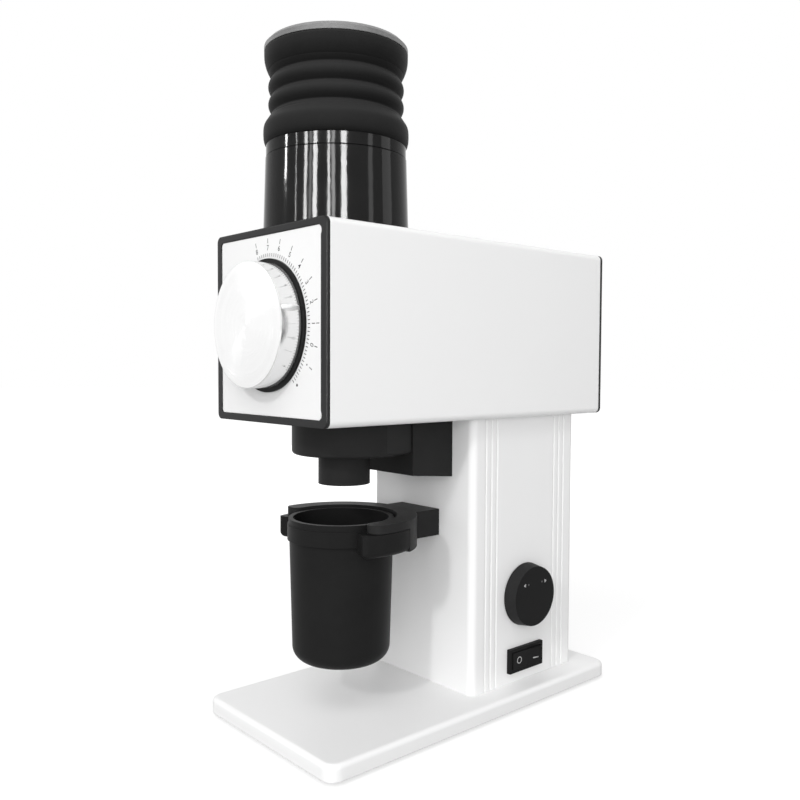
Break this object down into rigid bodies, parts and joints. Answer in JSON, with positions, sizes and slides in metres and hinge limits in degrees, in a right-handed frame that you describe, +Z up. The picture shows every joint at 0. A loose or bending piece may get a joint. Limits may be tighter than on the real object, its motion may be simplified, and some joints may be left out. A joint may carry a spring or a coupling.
{
  "type": "burr coffee grinder",
  "caption": "Burr coffee grinder: a motor head on a column, with a grind dial, a bellows hopper and lid, a spout, a fork that holds a dosing cup, a speed knob and a rocker switch.",
  "frame": {"origin": "middle of the whole box at the level where the feet stand", "axes": "+Z up, -Y out of the dial's face, +X to the right seen from the front, towards the speed knob and the switch"},
  "size_m": [0.1106, 0.2192, 0.3516],
  "materials": {
    "white_enamel": "satin powder coat",
    "black_cover": "satin",
    "gloss_black": "gloss",
    "black_plastic": "satin",
    "pale_plastic": "matt",
    "lid_grey": "satin",
    "silicone": "matt",
    "rubber": "matt",
    "turned_aluminium": "finely turned",
    "cast_aluminium": "as cast",
    "steel": "plated",
    "burr_steel": "ground",
    "core_iron": "matt",
    "magnet": "plated",
    "brass": "plain",
    "board": "satin"
  },
  "bodies": {
    "stand": {"base_plate": "white_enamel", "rubber_feet": "rubber", "column_screws": "steel", "column_shell": "white_enamel", "front_wall_screws": "steel", "head_housing": "white_enamel", "head_screws": "steel", "front_bezel": "black_cover", "bezel_screws": "steel", "face_plate": "white_enamel", "rear_cap": "black_cover", "rear_cap_screws": "steel", "dial_ring": "gloss_black", "spindle_bush": "brass", "front_plate": "cast_aluminium", "front_plate_screws": "steel", "guide_pins": "steel", "burr_housing": "cast_aluminium", "motor_plate": "cast_aluminium", "front_bearing": "steel", "motor_can": "steel", "stator_core": "core_iron", "motor_cover": "cast_aluminium", "rear_bearing": "steel", "tie_bolts": "steel", "grounds_chute": "black_plastic", "chute_screws": "steel", "chute_bracket": "black_plastic", "cup_holder": "black_plastic", "holder_magnets": "magnet", "hopper_tube": "gloss_black", "bean_funnel": "pale_plastic", "potentiometer": "black_plastic", "switch_frame": "black_plastic", "control_board": "board", "board_standoffs": "pale_plastic", "power_inlet": "black_plastic", "inlet_pins": "brass"},
    "dial": {"dial_knob": "turned_aluminium", "dial_spindle": "steel", "dial_set_screw": "steel"},
    "carrier": {"burr_carrier": "cast_aluminium", "fixed_burr": "burr_steel", "fixed_burr_screws": "steel"},
    "drive": {"rotating_carrier": "cast_aluminium", "rotating_burr": "burr_steel", "rotating_burr_screws": "steel", "carrier_bolt": "steel", "drive_shaft": "steel", "rotor_magnet": "core_iron", "cooling_fan": "black_plastic"},
    "cup": {"dosing_cup": "black_plastic", "cup_magnets": "magnet"},
    "bellows": {"silicone_bellows": "silicone", "lid_seat": "pale_plastic"},
    "lid": {"hopper_lid": "lid_grey"},
    "speed_knob": {"speed_knob": "black_plastic", "knob_shaft": "steel"},
    "rocker": {"switch_rocker": "black_plastic"}
  },
  "joints": [
    {"name": "dial_turn", "type": "hinge", "parent": "stand", "child": "dial", "pos_m": [0, -0.1, 0.20855], "axis": [0, 1, 0], "range_deg": [-105, 30]},
    {"name": "carrier_slide", "type": "slide", "parent": "stand", "child": "carrier", "axis": [0, 1, 0], "range_m": [-0.000437, 0.0001249]},
    {"name": "drive_spin", "type": "hinge", "parent": "stand", "child": "drive", "pos_m": [0, 0, 0.20855], "axis": [0, 1, 0], "continuous": true},
    {"name": "cup_pull", "type": "slide", "parent": "stand", "child": "cup", "axis": [0, -1, 0], "range_m": [0, 0.12]},
    {"name": "bellows_press", "type": "slide", "parent": "stand", "child": "bellows", "axis": [0, 0, -1], "range_m": [0, 0.012], "stiffness_N_per_m": 1500, "springref_m": -0.002, "deforming": ["silicone_bellows"]},
    {"name": "lid_lift", "type": "slide", "parent": "bellows", "child": "lid", "axis": [0, 0, 1], "range_m": [0, 0.08]},
    {"name": "speed_knob_turn", "type": "hinge", "parent": "stand", "child": "speed_knob", "pos_m": [0.045, 0.0484, 0.0594], "axis": [1, 0, 0], "range_deg": [-140, 140]},
    {"name": "rocker_tilt", "type": "hinge", "parent": "stand", "child": "rocker", "pos_m": [0.03865, 0.0482, 0.02305], "axis": [0, 0, 1], "range_deg": [0, 12]}
  ],
  "couplings": [
    {"joint": "dial_turn", "follows": "carrier_slide", "rad_per_m": 4188.8}
  ]
}
